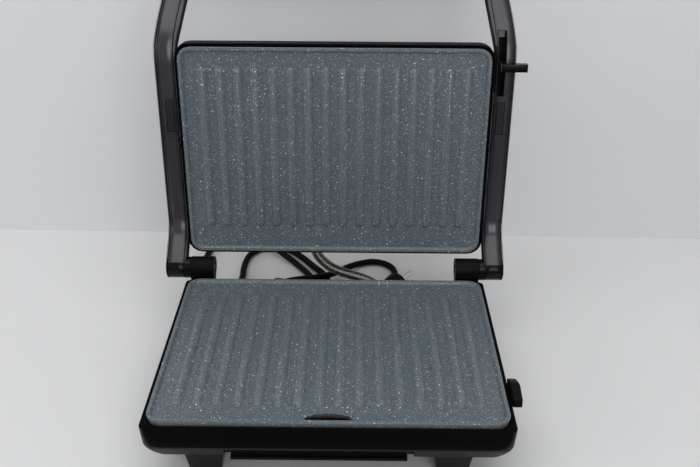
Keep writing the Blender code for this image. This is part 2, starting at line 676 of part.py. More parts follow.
def stop_slider(parent):
    """Crossbar over the arm's underside with a tongue in the slot; its origin is the bar's middle."""
    half = 0.0036
    under = -(ARM_HALF_DEPTH + GAP)
    bar = block("stop_slider", (0.1556, -half, under - 0.0076), (0.1795, half, under),
                parent, "matte_black")
    tongue = block("slider_tongue_tool", (0.1556 + 0.0002, -half + 0.0006, under - 0.0040),
                   (SLOT_OUT - 0.0006, half - 0.0006, 0.0020), parent)
    boolean(bar, tongue, "UNION")
    soften(bar, 0.0011)
    return bar


def handle(parent):
    centre = from_lid(HANDLE_UP, HANDLE_BACK)
    end = ARM_IN - ARM_NARROW_BY - 0.0026
    turned("handle_rod", "X", ((-0.1505, ROD_RADIUS), (0.1505, ROD_RADIUS)), parent, "bright_steel",
           centre, steps=20)
    inner = ROD_RADIUS + GAP
    stations = ((-end, inner), (-end, GRIP_RADIUS - 0.002), (-end + 0.003, GRIP_RADIUS),
                (end - 0.003, GRIP_RADIUS), (end, GRIP_RADIUS - 0.002), (end, inner))
    turned("handle_grip", "X", stations, parent, "matte_black", centre, ring=True, steps=20)


def hinge_fittings(side, sign, parent):
    """Pin held in the arm, the washer that keeps arm and barrel apart, and the outer cap."""
    turned(f"hinge_pin_{side}", "X", ((sign * 0.1225, PIN_RADIUS - 0.0005), (sign * 0.1230, PIN_RADIUS),
                                      (sign * 0.1652, PIN_RADIUS)), parent, "bright_steel", steps=24)
    x0, x1 = sign * (BARREL_OUT + GAP), sign * (ARM_IN - GAP)
    stations = ((x0, PIN_RADIUS + GAP), (x0, 0.0098), (x1, 0.0098), (x1, PIN_RADIUS + GAP))
    turned(f"hinge_washer_{side}", "X", stations, parent, "gloss_black", ring=True)
    cap = ((sign * (ARM_OUT + GAP), CAP_RADIUS), (sign * (ARM_OUT + 0.0008), CAP_RADIUS),
           (sign * TRIM_OUT, CAP_RADIUS - 0.0014))
    turned(f"hinge_cap_{side}", "X", cap, parent, "gloss_black")
    turned(f"lid_pivot_pin_{side}", "X", ((sign * 0.1400, PIN_RADIUS), (sign * 0.1637, PIN_RADIUS)),
           parent, "bright_steel", from_lid(TILT_UP, TILT_BACK), steps=20)


# ---------------------------------------------------------------- lid, about its pivot on the arms
def lid_frame(parent):
    """Black shell round the lid's plate, thinner along the hinge edge."""
    shifted = (0.0, LID_SHIFT_Y)
    inside = (0.0, LID_SHIFT_Y / 2)
    front = 0.0040 - TILT_BACK
    rear = 0.0175 - TILT_BACK
    x, y = LID_FRAME_X, LID_FRAME_Y
    loops = [
        rounded_rectangle(x - 0.0006, y - 0.0006, front, 0.0134, shifted),
        rounded_rectangle(x, y, front + 0.0008, 0.0140, shifted),
        rounded_rectangle(x, y, rear, 0.0140, shifted),
        rounded_rectangle(x - WALL, y - LID_WALL_Y, rear, 0.0115, inside),
        rounded_rectangle(x - WALL, y - LID_WALL_Y, front + 0.0040, 0.0115, inside),
        rounded_rectangle(PLATE_X + 0.0004, PLATE_Y + 0.0004, front + 0.0025, PLATE_CORNER + 0.0004),
        rounded_rectangle(PLATE_X + 0.0004, PLATE_Y + 0.0004, front, PLATE_CORNER + 0.0004),
    ]
    return loft("lid_frame", loops, parent, "gloss_black", ring=True)


def lid_cover(parent):
    """Metal cover over the back of the lid, open towards the plate and sloping at its far edge."""
    rim = 0.0175 + GAP - TILT_BACK
    outer = ((0.1478, -0.1042, 0.1035, rim, 0.0134), (0.1478, -0.1018, 0.1033, 0.0065, 0.0134),
             (0.1462, -0.0990, 0.1016, 0.0130, 0.0125), (0.1415, -0.0943, 0.0970, 0.0175, 0.0110),
             (0.1300, -0.0845, 0.0860, 0.0195, 0.0080))
    thick = 0.0014
    inner = [(x - thick, near + thick, far - thick, z if z == rim else z - thick, corner - thick)
             for x, near, far, z, corner in outer]
    loops = [rounded_rectangle(x, (far - near) / 2, z, corner, (0.0, (far + near) / 2))
             for x, near, far, z, corner in inner[::-1] + list(outer)]
    cover = loft("lid_cover", loops, parent, "brushed_steel")
    for side, sign in (("left", -1), ("right", 1)):
        hole = turned(f"pivot_hole_tool_{side}", "X", ((sign * 0.140, 0.0058), (sign * 0.152, 0.0058)),
                      parent)
        cut(cover, hole)
    cut(cover, turned("lid_lead_hole_tool", "Y", ((0.095, 0.0067), (0.110, 0.0067)), parent,
                      centre=(LEAD_LID_X, 0.0)))
    for name, x, finish in (("power_lens", -0.014, "lens_red"), ("ready_lens", 0.014, "lens_green")):
        y = -0.066
        cut(cover, turned(f"{name}_hole_tool", "Z", ((0.015, 0.0043), (0.022, 0.0043)), parent,
                          centre=(x, y)))
        turned(name, "Z", ((0.0150, 0.0040), (0.0200, 0.0040), (0.0208, 0.0030), (0.0211, 0.0014)),
               parent, finish, (x, y), steps=20)
    return cover


def lid_fittings(parent):
    for side, sign in (("left", -1), ("right", 1)):
        stations = ((0.1452, 0.0043), (0.1452, 0.0055), (0.1482, 0.0055), (0.1482, 0.0085),
                    (0.1510, 0.0085), (0.1510, 0.0043))
        turned(f"pivot_bush_{side}", "X", [(sign * x, radius) for x, radius in stations], parent,
               "matte_black", ring=True)
    rear = 0.1035
    gland = ((rear - 0.0046, 0.0072), (rear - 0.0026, 0.0072), (rear - 0.0026, 0.0064),
             (rear + 0.0003, 0.0064), (rear + 0.0003, 0.0084), (rear + 0.0028, 0.0078),
             (rear + 0.0070, 0.0062))
    turned("lead_gland_lid", "Y", gland, parent, "matte_black", (LEAD_LID_X, 0.0))


# ---------------------------------------------------------------- the whole press
def main():
    clear_scene()
    base = empty("base_frame", None, FRAME_ORIGIN)
    hinge = empty("hinge_axis", base, (0, HINGE_Y, HINGE_Z), (-LID_OPEN, 0, 0))
    tilt_y, tilt_z = from_lid(TILT_UP, TILT_BACK)
    tilt = empty("lid_tilt_axis", hinge, (0, tilt_y, tilt_z))
    slide_y, slide_z = from_lid(SLIDER_UP, TILT_BACK)
    slide = empty("slider_frame", hinge, (0, slide_y, slide_z))
    lower = empty("lower_plate_frame", base, (0, -PLATE_Y, 0))
    upper = empty("upper_plate_frame", tilt, (0, 0, -TILT_BACK), (0, pi, 0))

    base_housing(base)
    bottom_cover(base)
    for place_name, (x, y) in leg_places().items():
        leg(place_name, x, y, base)
    drip_tray(base)
    stop_catch(base)
    base_electrics(base)
    power_cord(base)
    power_plug(base)
    lead_conduit(base)

    for name, frame in (("lower", lower), ("upper", upper)):
        plate = cooking_plate(f"{name}_plate", frame, PLATE_FRONT if name == "lower" else 0.0)
        if name == "lower":
            drain_slot(plate, frame)
        heater(f"{name}_heater", frame)
        reflector(f"{name}_reflector", frame)
        thermostat(f"{name}_thermostat", frame)

    for side, sign in (("left", -1), ("right", 1)):
        hinge_bracket(side, sign, base)
        body = arm(side, sign, hinge)
        if side == "right":
            slider_slot(body, hinge)
        hinge_fittings(side, sign, hinge)
    handle(hinge)
    stop_slider(slide)

    lid_frame(tilt)
    lid_cover(tilt)
    lid_fittings(tilt)


main()
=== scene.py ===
"""Two-plate panini press: fine shapes, finishes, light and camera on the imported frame."""

import json
from math import atan2, cos, pi, radians, sin

import bmesh
import bpy
from mathutils import Matrix, Vector


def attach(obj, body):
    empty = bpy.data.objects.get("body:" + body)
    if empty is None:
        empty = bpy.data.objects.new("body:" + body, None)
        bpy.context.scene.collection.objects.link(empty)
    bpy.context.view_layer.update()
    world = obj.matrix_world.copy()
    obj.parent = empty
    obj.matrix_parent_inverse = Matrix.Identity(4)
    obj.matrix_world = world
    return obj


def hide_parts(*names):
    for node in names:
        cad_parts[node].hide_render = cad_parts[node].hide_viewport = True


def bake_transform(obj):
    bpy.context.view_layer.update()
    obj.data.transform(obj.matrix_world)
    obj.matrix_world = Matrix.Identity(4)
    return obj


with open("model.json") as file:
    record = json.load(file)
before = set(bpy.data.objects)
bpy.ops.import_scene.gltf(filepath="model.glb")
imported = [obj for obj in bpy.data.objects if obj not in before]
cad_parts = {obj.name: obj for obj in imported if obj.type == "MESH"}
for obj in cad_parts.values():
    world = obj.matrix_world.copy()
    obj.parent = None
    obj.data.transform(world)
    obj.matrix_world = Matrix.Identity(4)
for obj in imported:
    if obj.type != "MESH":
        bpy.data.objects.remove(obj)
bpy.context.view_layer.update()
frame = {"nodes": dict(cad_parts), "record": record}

ORIGIN = Vector((-0.003, 0.038, 0.066))     # middle of the lower plate's hinge edge
PAD_BOTTOM = -ORIGIN.z
GAP = 0.0003

CORD_RADIUS = 0.0036
CORD_EXIT = (-0.062, 0.0272, -0.0245)
CORD_ON_TABLE = PAD_BOTTOM + CORD_RADIUS + GAP
PLUG_REAR = (0.0431, 0.0408, PAD_BOTTOM + 0.0133)
PLUG_HEADING = atan2(0.807, 0.590)
PLUG_ROLL = radians(36)
PIN_SPREAD = 0.0095

LEAD_RADIUS = 0.0052
LEAD_BASE = (0.0440, 0.0160, -0.0235)
LEAD_LID_X = -0.0205
LEAD_END_Y = 0.0498

HOUSING_FRONT_Y = -0.2092

HINGE_Y = 0.018                             # main hinge axis
HINGE_Z = 0.003
LID_OPEN = radians(95)
LID_REACH = 0.01552
LID_RISE = 0.00416
TILT_BACK = 0.027
ARM_IN = 0.1515
ARM_OUT = 0.1683
ARM_HALF_DEPTH = 0.0115
ARM_ELBOW_UP = 0.0150
ARM_BEND_UP = 0.2060
HANDLE_UP = 0.2520
HANDLE_BACK = 0.0720
ARM_NARROW_FROM = 0.2000
ARM_NARROW_BY = 0.0080
SLOT_IN = 0.1528
SLOT_OUT = 0.1604
SLOT_START_UP = 0.1580
SLOT_END_UP = 0.2185
SLOT_BACK = 0.0330
COVER_IN = 0.1553                           # let-in cover on each arm's underside
COVER_OUT = 0.1622
COVER_START_UP = 0.1205
COVER_END_UP = 0.1520
COVER_DEPTH = 0.0020
HUB_RADIUS = 0.0128                         # black part of the arm round the hinge


# ---------------------------------------------------------------- camera
def make_camera():
    yaw, pitch, roll = radians(-0.3125), radians(29.464), radians(0.3243)
    ahead = Vector((sin(yaw) * cos(pitch), cos(yaw) * cos(pitch), -sin(pitch)))
    right = Vector((cos(yaw), -sin(yaw), 0.0))
    up = right.cross(ahead)
    turned_right = right * cos(roll) + up * sin(roll)
    turned_up = up * cos(roll) - right * sin(roll)
    data = bpy.data.cameras.new("camera")
    data.lens = 42.56
    data.sensor_width = 36.0
    camera = bpy.data.objects.new("camera", data)
    bpy.context.scene.collection.objects.link(camera)
    turn = Matrix((turned_right, turned_up, -ahead)).transposed()
    camera.matrix_world = Matrix.Translation((0.01617, -0.65997, 0.51314)) @ turn.to_4x4()
    bpy.context.scene.camera = camera


# ---------------------------------------------------------------- finishes
class Finish:
    """One node material; colours and numbers are linear."""

    def __init__(self, name, **values):
        self.material = bpy.data.materials.new(name)
        self.material.use_nodes = True
        self.nodes = self.material.node_tree.nodes
        self.links = self.material.node_tree.links
        self.surface = self.nodes["Principled BSDF"]
        self.place = self.nodes.new("ShaderNodeTexCoord").outputs["Object"]
        for socket, value in values.items():
            self.surface.inputs[socket.replace("_", " ")].default_value = value

    def feed(self, socket, output):
        self.links.new(output, self.surface.inputs[socket])

    def node(self, kind, *inputs, **settings):
        made = self.nodes.new(kind)
        for name, value in settings.items():
            setattr(made, name, value)
        for socket, value in inputs:
            if isinstance(value, bpy.types.NodeSocket):
                self.links.new(value, made.inputs[socket])
            else:
                made.inputs[socket].default_value = value
        return made

    def stretched(self, scale):
        return self.node("ShaderNodeMapping", ("Vector", self.place), ("Scale", scale)).outputs[0]

    def noise(self, scale, detail=3.0, where=None, roughness=0.5):
        made = self.node("ShaderNodeTexNoise", ("Vector", where or self.place), ("Scale", scale),
                         ("Detail", detail), ("Roughness", roughness))
        return made.outputs["Fac"]

    def spread(self, source, low, high, to_low=0.0, to_high=1.0):
        made = self.node("ShaderNodeMapRange", ("Value", source), ("From Min", low), ("From Max", high),
                         ("To Min", to_low), ("To Max", to_high), interpolation_type="SMOOTHSTEP")
        return made.outputs[0]

    def math(self, operation, a, b=0.0):
        return self.node("ShaderNodeMath", (0, a), (1, b), operation=operation).outputs[0]

    def mix(self, amount, a, b):
        made = self.node("ShaderNodeMix", (0, amount), (6, a), (7, b), data_type="RGBA")
        return made.outputs[2]

    def bump(self, height, strength, distance):
        made = self.node("ShaderNodeBump", ("Height", height), ("Strength", strength),
                         ("Distance", distance))
        self.feed("Normal", made.outputs[0])

    def one_sided(self):
        """Clear when seen from behind, so that a set surface never hides the object."""
        behind = self.node("ShaderNodeNewGeometry").outputs["Backfacing"]
        clear = self.node("ShaderNodeBsdfTransparent").outputs[0]
        mixed = self.node("ShaderNodeMixShader", (0, behind), (1, self.surface.outputs[0]), (2, clear))
        self.links.new(mixed.outputs[0], self.nodes["Material Output"].inputs["Surface"])

    def shaken(self, amount, scale):
        """Coordinates pushed about a little, so that marks lose their round outline."""
        made = self.node("ShaderNodeTexNoise", ("Vector", self.place), ("Scale", scale), ("Detail", 2.0))
        centred = self.node("ShaderNodeVectorMath", (0, made.outputs["Color"]), (1, (0.5, 0.5, 0.5)),
                            operation="SUBTRACT").outputs[0]
        scaled = self.node("ShaderNodeVectorMath", (0, centred), ("Scale", amount),
                           operation="SCALE").outputs[0]
        return self.node("ShaderNodeVectorMath", (0, self.place), (1, scaled),
                         operation="ADD").outputs[0]

    def specks(self, spacing, radius, where):
        """Mask of scattered specks of mixed size."""
        cells = self.node("ShaderNodeTexVoronoi", ("Vector", where), ("Scale", 1.0 / spacing))
        size = self.node("ShaderNodeSeparateColor", ("Color", cells.outputs["Color"])).outputs[0]
        reach = self.spread(size, 0.0, 1.0, 0.35 * radius / spacing, radius / spacing)
        inside = self.math("SUBTRACT", reach, cells.outputs["Distance"])
        return self.spread(inside, 0.0, 0.25 * radius / spacing)


def grey(value, blue=0.0):
    return (value, value * (1.0 + blue / 2), value * (1.0 + blue), 1.0)


def stone_coating(name, outward, on_rim):
    """Satin blue-grey coating full of pale and dark specks, with a painted highlight: a lighter tint on what
    stands proud.
    """
    made = Finish(name, Roughness=0.36, Coat_Weight=0.20, Coat_Roughness=0.26)
    broad = made.noise(24.0, 2.0)
    fine = made.noise(1500.0, 4.0, roughness=0.75)
    base = made.mix(broad, (0.068, 0.089, 0.106, 1), (0.082, 0.105, 0.123, 1))
    base = made.mix(made.spread(fine, 0.40, 0.68, 0.0, 0.60), base, (0.160, 0.190, 0.206, 1))
    along = made.node("ShaderNodeVectorMath", (0, made.place), (1, outward), operation="DOT_PRODUCT")
    height = made.math("SUBTRACT", along.outputs["Value"], outward.dot(on_rim))
    # Painted highlight: ribs and rim that stand proud get a lighter tint, as if lit from above.
    painted_crest_light = made.spread(height, -0.0022, -0.0004, 0.0, 0.60)
    base = made.mix(painted_crest_light, base, (0.116, 0.140, 0.156, 1))
    where = made.shaken(0.0007, 1500.0)
    base = made.mix(made.specks(0.0021, 0.00050, where), base, (0.004, 0.005, 0.006, 1))
    base = made.mix(made.specks(0.00104, 0.00032, where), base, (0.36, 0.41, 0.42, 1))
    base = made.mix(made.specks(0.0017, 0.00042, where), base, (0.60, 0.64, 0.64, 1))
    base = made.mix(made.specks(0.0042, 0.00064, where), base, (0.85, 0.86, 0.84, 1))
    made.feed("Base Color", base)
    made.feed("Roughness", made.spread(fine, 0.2, 0.8, 0.30, 0.46))
    made.bump(made.noise(700.0, 3.0), 0.20, 0.0004)
    return made.material


def moulded(name, colour, roughness, grain, strength, coat=0.0, shine=0.3):
    """Moulded plastic or rubber: a fine grain over very slightly uneven colour and gloss."""
    made = Finish(name, Base_Color=colour, Coat_Weight=coat, Coat_Roughness=0.12,
                  Specular_IOR_Level=shine)
    cloud = made.noise(38.0, 3.0)
    lighter = tuple(min(1.0, c * 1.25 + 0.001) for c in colour[:3]) + (1.0,)
    made.feed("Base Color", made.mix(cloud, colour, lighter))
    made.feed("Roughness", made.spread(cloud, 0.25, 0.75, roughness * 0.88, roughness * 1.12))
    made.bump(made.noise(grain, 4.0, roughness=0.65), strength, 0.0003)
    return made.material


def brushed(name, colour, roughness, along):
    """Metal with hair-fine lines along one axis."""
    made = Finish(name, Metallic=1.0)
    scale = [1800.0, 1800.0, 1800.0]
    scale["XYZ".index(along)] = 22.0
    lines = made.noise(1.0, 3.0, made.stretched(scale), 0.7)
    cloud = made.noise(30.0, 3.0)
    dark = tuple(c * 0.78 for c in colour[:3]) + (1.0,)
    made.feed("Base Color", made.mix(lines, dark, colour))
    hairs = made.spread(lines, 0.2, 0.8, roughness * 0.8, roughness * 1.25)
    made.feed("Roughness", made.math("MULTIPLY", hairs, made.spread(cloud, 0.2, 0.8, 0.9, 1.1)))
    made.bump(lines, 0.12, 0.0002)
    return made.material


def bright(name, colour, roughness):
    """Smooth metal with light handling marks."""
    made = Finish(name, Metallic=1.0, Base_Color=colour)
    marks = made.noise(260.0, 5.0, roughness=0.7)
    made.feed("Roughness", made.spread(marks, 0.3, 0.75, roughness * 0.75, roughness * 1.5))
    made.feed("Base Color", made.mix(made.noise(60.0, 3.0), colour,
                                     tuple(c * 0.86 for c in colour[:3]) + (1.0,)))
    return made.material


def lens(name, colour):
    made = Finish(name, Base_Color=colour, Roughness=0.08, Transmission_Weight=0.35, IOR=1.49)
    made.feed("Base Color", made.mix(made.noise(300.0, 2.0), colour,
                                     tuple(c * 0.7 for c in colour[:3]) + (1.0,)))
    return made.material


def housing_black():
    """Glossy moulded shell whose front carries a flat matte panel with a crisp, round-cornered edge; its top
    strip by the plate is painted shade, dark and dull.
    """
    made = Finish("housing_black", Coat_Roughness=0.14, Specular_IOR_Level=0.05)
    half_x, half_z, corner = 0.1456, 0.0210, 0.0160
    middle_z = ORIGIN.z - 0.0070
    split = made.node("ShaderNodeSeparateXYZ", ("Vector", made.place)).outputs
    across = made.math("ABSOLUTE", made.math("SUBTRACT", split[0], ORIGIN.x))
    below = made.math("SUBTRACT", middle_z, split[2])
    over_x = made.math("MAXIMUM", made.math("SUBTRACT", across, half_x - corner), 0.0)
    over_z = made.math("MAXIMUM", made.math("SUBTRACT", below, half_z - corner), 0.0)
    reach = made.math("SQRT", made.math("ADD", made.math("MULTIPLY", over_x, over_x),
                                        made.math("MULTIPLY", over_z, over_z)))
    flat = made.spread(split[1], ORIGIN.y + HOUSING_FRONT_Y + 0.0006, ORIGIN.y + HOUSING_FRONT_Y + 0.0003)
    panel = made.math("MULTIPLY", made.spread(reach, corner + 0.00015, corner - 0.00015), flat)
    grain = made.noise(1500.0, 3.0)
    gloss = made.mix(made.noise(40.0, 2.0), grey(0.008, 0.1), grey(0.011, 0.1))
    # Painted shade: the strip along the housing's top next to the plate is darkened and dulled like the
    # panel.
    painted_shade_ledge = made.spread(split[2], ORIGIN.z - 0.0072, ORIGIN.z - 0.0066)
    matte_panel_and_painted_shade = made.math("MAXIMUM", panel, painted_shade_ledge)
    made.feed("Base Color", made.mix(matte_panel_and_painted_shade, gloss, grey(0.0014)))
    made.feed("Roughness", made.spread(matte_panel_and_painted_shade, 0.0, 1.0, 0.22, 0.62))
    made.feed("Coat Weight", made.spread(matte_panel_and_painted_shade, 0.0, 1.0, 0.03, 0.0))
    edge = made.math("MULTIPLY", made.spread(reach, corner - 0.0004, corner + 0.0004), flat)
    made.bump(made.math("ADD", made.math("MULTIPLY", edge, 2.0), made.math("MULTIPLY", grain, panel)),
              0.25, 0.0003)
    return made.material


def make_finishes():
    lid_rim = hinge_frame() @ Vector((0.0, *from_lid(0.0, 0.0)))
    lid_outward = hinge_frame().to_3x3() @ Vector((0.0, 0.0, -1.0))
    return {
        # Both plate coatings carry the painted highlight on ribs and rim; the upper one measures height
        # along the open lid.
        "stone_coating": stone_coating("stone_coating", Vector((0.0, 0.0, 1.0)), ORIGIN),
        "stone_upper": stone_coating("stone_upper", lid_outward, lid_rim),
        "housing_black": housing_black(),
        "gloss_black": moulded("gloss_black", grey(0.0035, 0.1), 0.20, 900.0, 0.02, 0.05, shine=0.15),
        "frame_black": moulded("frame_black", grey(0.0022, 0.1), 0.30, 900.0, 0.02, shine=0.008),
        "matte_black": moulded("matte_black", (0.0030, 0.0028, 0.0034, 1), 0.48, 2600.0, 0.35, shine=0.09),
        "dark_satin": moulded("dark_satin", (0.025, 0.0246, 0.031, 1), 0.30, 1400.0, 0.04, 0.25, shine=0.60),
        "cover_satin": moulded("cover_satin", (0.017, 0.0165, 0.0195, 1), 0.34, 1200.0, 0.05, shine=0.35),
        "brushed_steel": brushed("brushed_steel", (0.62, 0.60, 0.56, 1), 0.34, "X"),
        "trim_steel": brushed("trim_steel", (0.20, 0.185, 0.160, 1), 0.34, "Z"),
        "bright_steel": bright("bright_steel", (0.74, 0.72, 0.68, 1), 0.34),
        "spring_steel": bright("spring_steel", (0.24, 0.225, 0.205, 1), 0.30),
        "bare_aluminium": bright("bare_aluminium", (0.70, 0.71, 0.72, 1), 0.42),
        "heater_sheath": bright("heater_sheath", (0.22, 0.20, 0.18, 1), 0.50),
        "black_rubber": moulded("black_rubber", grey(0.009), 0.68, 2200.0, 0.3, shine=0.2),
        "cord_black": moulded("cord_black", grey(0.0022, 0.08), 0.40, 2200.0, 0.08, shine=0.09),
        "ceramic_white": moulded("ceramic_white", (0.66, 0.63, 0.58, 1), 0.22, 500.0, 0.05),
        "lens_red": lens("lens_red", (0.42, 0.012, 0.010, 1)),
        "lens_green": lens("lens_green", (0.02, 0.26, 0.05, 1)),
    }


# ---------------------------------------------------------------- shapes
def finish_piece(name, bm, slot, body, finish=None, smooth=True, replaced=()):
    """An object from a mesh, smooth but for its sharp edges, that rides on a body."""
    for face in bm.faces:
        face.smooth = smooth
    for edge in bm.edges:
        if len(edge.link_faces) == 2:
            edge.smooth = edge.calc_face_angle(0.0) < radians(32)
    data = bpy.data.meshes.new(name)
    bm.to_mesh(data)
    bm.free()
    data.materials.append(finishes[finish or slot])
    piece = bpy.data.objects.new(name, data)
    bpy.context.scene.collection.objects.link(piece)
    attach(piece, body)
    if replaced:
        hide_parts(*replaced)
    return piece


def refined(node, slot, body, bevel, finish=None, segments=3, angle=32):
    """The CAD node's own shape with its flat faces joined and its edges rounded."""
    bm = bmesh.new()
    bm.from_mesh(frame["nodes"][node].data)
    bmesh.ops.remove_doubles(bm, verts=bm.verts, dist=2e-6)
    bmesh.ops.dissolve_limit(bm, angle_limit=radians(0.4), verts=bm.verts, edges=bm.edges)
    bmesh.ops.recalc_face_normals(bm, faces=bm.faces)
    piece = finish_piece(f"{node}_fine", bm, slot, body, finish, replaced=(node,))
    modifier = piece.modifiers.new("edges", "BEVEL")
    modifier.width = bevel
    modifier.segments = segments
    modifier.limit_method = "ANGLE"
    modifier.angle_limit = radians(angle)
    modifier.harden_normals = True
    return piece


def sweep(bm, points, radius_at, steps, closed_ends=True):
    """A tube along points whose radius may vary with length and angle; returns its length."""
    travelled = 0.0
    side = None
    rings = []
    for i, point in enumerate(points):
        ahead = (points[min(i + 1, len(points) - 1)] - points[max(i - 1, 0)]).normalized()
        if i:
            travelled += (point - points[i - 1]).length
        if side is None:
            side = ahead.orthogonal().normalized()
        side = (side - ahead * side.dot(ahead)).normalized()
        other = ahead.cross(side)
        ring = []
        for j in range(steps):
            turn = 2 * pi * j / steps
            reach = radius_at(travelled, turn)
            ring.append(bm.verts.new(point + (side * cos(turn) + other * sin(turn)) * reach))
        rings.append(ring)
    for a, b in zip(rings, rings[1:]):
        for j in range(steps):
            bm.faces.new((a[j], a[(j + 1) % steps], b[(j + 1) % steps], b[j]))
    if closed_ends:
        bm.faces.new(rings[0][::-1])
        bm.faces.new(rings[-1])
    return travelled


def lathe(bm, stations, steps=48, where=Matrix.Identity(4)):
    """A solid turned about X from (x, radius) stations."""
    rings = []
    for x, radius in stations:
        rings.append([bm.verts.new(where @ Vector((x, radius * cos(2 * pi * j / steps),
                                                   radius * sin(2 * pi * j / steps))))
                      for j in range(steps)])
    for a, b in zip(rings, rings[1:]):
        for j in range(steps):
            bm.faces.new((a[j], a[(j + 1) % steps], b[(j + 1) % steps], b[j]))
    bm.faces.new(rings[0][::-1])
    bm.faces.new(rings[-1])
    bmesh.ops.recalc_face_normals(bm, faces=bm.faces)


def smooth_route(route, step):
    """Points about a step apart on the smooth curve through the route."""
    knots = [Vector(p) for p in route]
    knots = [knots[0] * 2 - knots[1]] + knots + [knots[-1] * 2 - knots[-2]]
    points = [knots[1]]
    for a, b, c, d in zip(knots, knots[1:], knots[2:], knots[3:]):
        count = max(1, round((c - b).length / step))
        for i in range(1, count + 1):
            t = i / count
            points.append(0.5 * (2 * b + (c - a) * t + (2 * a - 5 * b + 4 * c - d) * t * t
                                 + (3 * b - a - 3 * c + d) * t * t * t))
    return [ORIGIN + p for p in points]


# ---------------------------------------------------------------- cord, plug and conduit
def cord_route():
    """Listed points from the strain relief to the plug, from the hinge edge's middle."""
    low = CORD_ON_TABLE
    x, y, z = CORD_EXIT
    return [
        (x, y + 0.0010, z), (x, 0.0380, -0.0272),
        (-0.0592, 0.0475, -0.0338), (-0.0515, 0.0555, -0.0405), (-0.0395, 0.0605, -0.0468),
        (-0.0262, 0.0651, -0.0520), (-0.0155, 0.0723, -0.0572), (-0.0098, 0.0839, -0.0612),
        (-0.0108, 0.0965, low), (-0.0165, 0.1100, low), (-0.0270, 0.1240, low),
        (-0.0386, 0.1405, low), (-0.0510, 0.1555, low), (-0.0625, 0.1650, low),
        (-0.0765, 0.1690, low), (-0.0905, 0.1655, low), (-0.1015, 0.1555, low),
        (-0.1070, 0.1400, low), (-0.1085, 0.1200, low), (-0.1078, 0.1030, low),
        (-0.1092, 0.0875, low), (-0.1160, 0.0750, low), (-0.1292, 0.0679, low),
        (-0.1441, 0.0698, low), (-0.1550, 0.0800, low), (-0.1585, 0.0945, low),
        (-0.1578, 0.1120, low), (-0.1566, 0.1300, low), (-0.1552, 0.1475, low),
        (-0.1527, 0.1650, low), (-0.1445, 0.1805, low), (-0.1290, 0.1885, -0.0610),
        (-0.1105, 0.1850, -0.0575), (-0.0920, 0.1715, -0.0543), (-0.0740, 0.1560, -0.0570),
        (-0.0580, 0.1415, -0.0608), (-0.0450, 0.1260, low), (-0.0345, 0.1100, low),
        (-0.0265, 0.0950, low), (-0.0232, 0.0800, low), (-0.0243, 0.0650, low),
        (-0.0280, 0.0525, low), (-0.0355, 0.0412, low), (-0.0475, 0.0330, low),
        (-0.0616, 0.0322, low), (-0.0743, 0.0402, low), (-0.0802, 0.0541, -0.0617),
        (-0.0772, 0.0688, -0.0603), (-0.0672, 0.0784, -0.0582), (-0.0560, 0.0822, -0.0560),
        (-0.0420, 0.0843, -0.0543), (-0.0260, 0.0872, -0.0541), (-0.0100, 0.0935, -0.0543),
        (0.0020, 0.1045, -0.0562), (0.0125, 0.1190, -0.0593), (0.0260, 0.1310, -0.0617),
        (0.0415, 0.1362, low), (0.0556, 0.1320, low), (0.0650, 0.1202, low),
        (0.0662, 0.1055, low), (0.0590, 0.0928, low), (0.0470, 0.0845, low),
        (0.0320, 0.0790, low), (0.0160, 0.0735, low), (0.0015, 0.0655, low),
        (-0.0092, 0.0535, low), (-0.0132, 0.0400, low), (-0.0085, 0.0264, low),
        (0.0034, 0.0174, -0.0605), (0.0185, 0.0168, -0.0568), (0.0322, 0.0259, -0.0534),
        (0.0427, 0.0400, -0.0527),
    ]


def power_cord(with_pieces):
    points = smooth_route(cord_route(), 0.006)
    curve = bpy.data.curves.new("power_cord_fine", "CURVE")
    curve.dimensions = "3D"
    curve.bevel_depth = CORD_RADIUS
    curve.bevel_resolution = 7
    curve.use_fill_caps = True
    line = curve.splines.new("POLY")
    line.points.add(len(points) - 1)
    for knot, point in zip(line.points, points):
        knot.co = (*point, 1.0)
    line.use_smooth = True
    curve.materials.append(finishes["cord_black"])
    piece = bpy.data.objects.new("power_cord_fine", curve)
    bpy.context.scene.collection.objects.link(piece)
    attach(piece, "base")
    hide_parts("power_cord")


def power_plug():
    """Round moulded plug with a waisted, finger-ribbed body."""
    where = Matrix.Translation(ORIGIN + Vector(PLUG_REAR)) @ Matrix.Rotation(PLUG_HEADING, 4, "Z")
    stations = [(GAP, 0.0040), (0.0006, 0.0044)]
    for i in range(5):                       # flexible ribbed neck
        x = 0.0022 + 0.0024 * i
        swell = 0.0044 + 0.0003 * i
        stations += [(x, swell), (x + 0.0003, swell - 0.0006), (x + 0.0010, swell - 0.0006),
                     (x + 0.0013, swell + 0.0001)]
    stations += [(0.0148, 0.0058), (0.0170, 0.0084), (0.0196, 0.0100), (0.0240, 0.0114),
                 (0.0300, 0.0124), (0.0360, 0.0129), (0.0412, 0.0130), (0.0424, 0.0128),
                 (0.0429, 0.0123), (0.0430, 0.0117)]
    bm = bmesh.new()
    lathe(bm, stations, 56, where)
    body = finish_piece("plug_body_fine", bm, "cord_black", "base", replaced=("plug_body",))
    pieces = [body]
    for number, sign in ((1, 1), (2, -1)):
        offset = sign * PIN_SPREAD * Vector((0.0, -sin(PLUG_ROLL), cos(PLUG_ROLL)))
        pin = [(0.0433, 0.0023), (0.0604, 0.0023), (0.0616, 0.0020), (0.0622, 0.0014), (0.0623, 0.0010)]
        bm = bmesh.new()
        lathe(bm, pin, 28, where @ Matrix.Translation(offset))
        pieces.append(finish_piece(f"plug_pin_{number}_fine", bm, "bright_steel", "base",
                                   replaced=(f"plug_pin_{number}",)))
    return pieces


